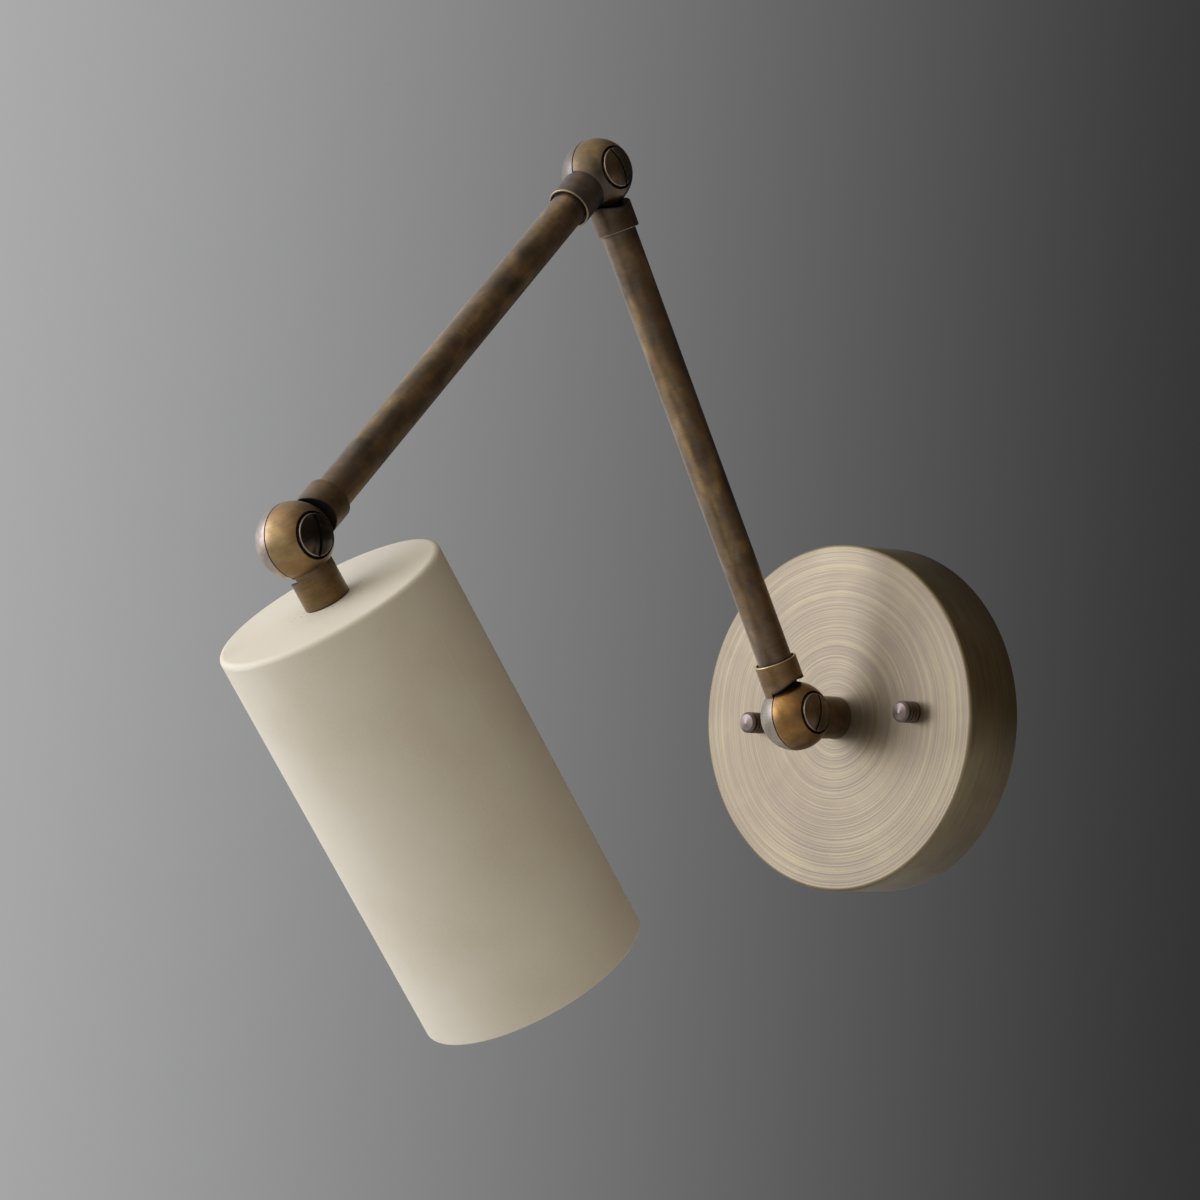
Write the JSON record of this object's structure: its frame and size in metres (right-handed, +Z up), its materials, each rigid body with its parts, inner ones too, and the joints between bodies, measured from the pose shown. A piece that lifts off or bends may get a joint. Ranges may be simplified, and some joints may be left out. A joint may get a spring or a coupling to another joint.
{
  "type": "articulating wall lamp",
  "caption": "Wall lamp with a round cover, jointed tubular arms on split ball knuckles and a swivelling cylinder shade.",
  "frame": {"origin": "centre of the wall cover and of its bracket's screw slots, on the wall plane", "axes": "+Y into the wall, -Y out into the room, +Z up, +X to the right seen from the room"},
  "size_m": [0.1206, 0.287, 0.2985],
  "materials": {
    "cover_metal": "spun, antiqued and brushed in rings",
    "dark_bronze": "dark antique bronze, brushed round",
    "screw_bronze": "dark antique bronze, satin",
    "nut_bronze": "dark antique bronze with a worn end",
    "zinc_steel": "zinc plated",
    "spring_steel": "oiled spring steel",
    "fibre": "vulcanised fibre",
    "shade_paint": "matte cream powder coat",
    "holder_plastic": "moulded phenolic",
    "bright_brass": "bright rolled brass",
    "ground_paint": "green dyed"
  },
  "bodies": {
    "wall_mount": {"wall_cover": "cover_metal", "wall_bracket": "zinc_steel", "stud_left": "zinc_steel", "stud_right": "zinc_steel", "stud_nut_left": "zinc_steel", "stud_nut_right": "zinc_steel", "cap_nut_left": "nut_bronze", "cap_nut_right": "nut_bronze", "ground_screw": "ground_paint"},
    "swivel_neck": {"shoulder_neck_half": "dark_bronze", "cover_nipple": "zinc_steel", "cover_washer": "zinc_steel", "cover_lock_washer": "spring_steel", "cover_locknut": "zinc_steel"},
    "lower_arm": {"shoulder_arm_half": "dark_bronze", "shoulder_screw": "screw_bronze", "shoulder_spring_washer": "spring_steel", "shoulder_friction_washer": "fibre", "lower_arm_tube": "dark_bronze", "elbow_lower_half": "dark_bronze", "elbow_screw": "screw_bronze", "elbow_spring_washer": "spring_steel", "elbow_friction_washer": "fibre"},
    "upper_arm": {"elbow_upper_half": "dark_bronze", "upper_arm_tube": "dark_bronze", "shade_joint_arm_half": "dark_bronze", "shade_joint_screw": "screw_bronze", "shade_joint_spring_washer": "spring_steel", "shade_joint_friction_washer": "fibre"},
    "shade": {"shade_joint_neck_half": "dark_bronze", "shade_shell": "shade_paint", "shade_nipple": "zinc_steel", "shade_washer": "zinc_steel", "shade_locknut": "zinc_steel", "lampholder_cap": "bright_brass", "lampholder_body": "holder_plastic", "lampholder_thread_shell": "bright_brass", "lampholder_contact": "bright_brass"}
  },
  "joints": [
    {"name": "cover_swivel", "type": "hinge", "parent": "wall_mount", "child": "swivel_neck", "pos_m": [0, -0.025, 0], "axis": [0, -1, 0], "range_deg": [-170, 170]},
    {"name": "shoulder_tilt", "type": "hinge", "parent": "swivel_neck", "child": "lower_arm", "pos_m": [0, -0.04575, 0], "axis": [0.9969, 0, 0.0785], "range_deg": [-32, 165]},
    {"name": "elbow_fold", "type": "hinge", "parent": "lower_arm", "child": "upper_arm", "pos_m": [-0.01418, -0.12399, 0.18024], "axis": [-0.9969, 0, -0.0785], "range_deg": [0, 219]},
    {"name": "shade_tilt", "type": "hinge", "parent": "upper_arm", "child": "shade", "pos_m": [-0.00364, -0.26806, 0.0463], "axis": [0.9969, 0, 0.0785], "range_deg": [-190, 29]}
  ]
}
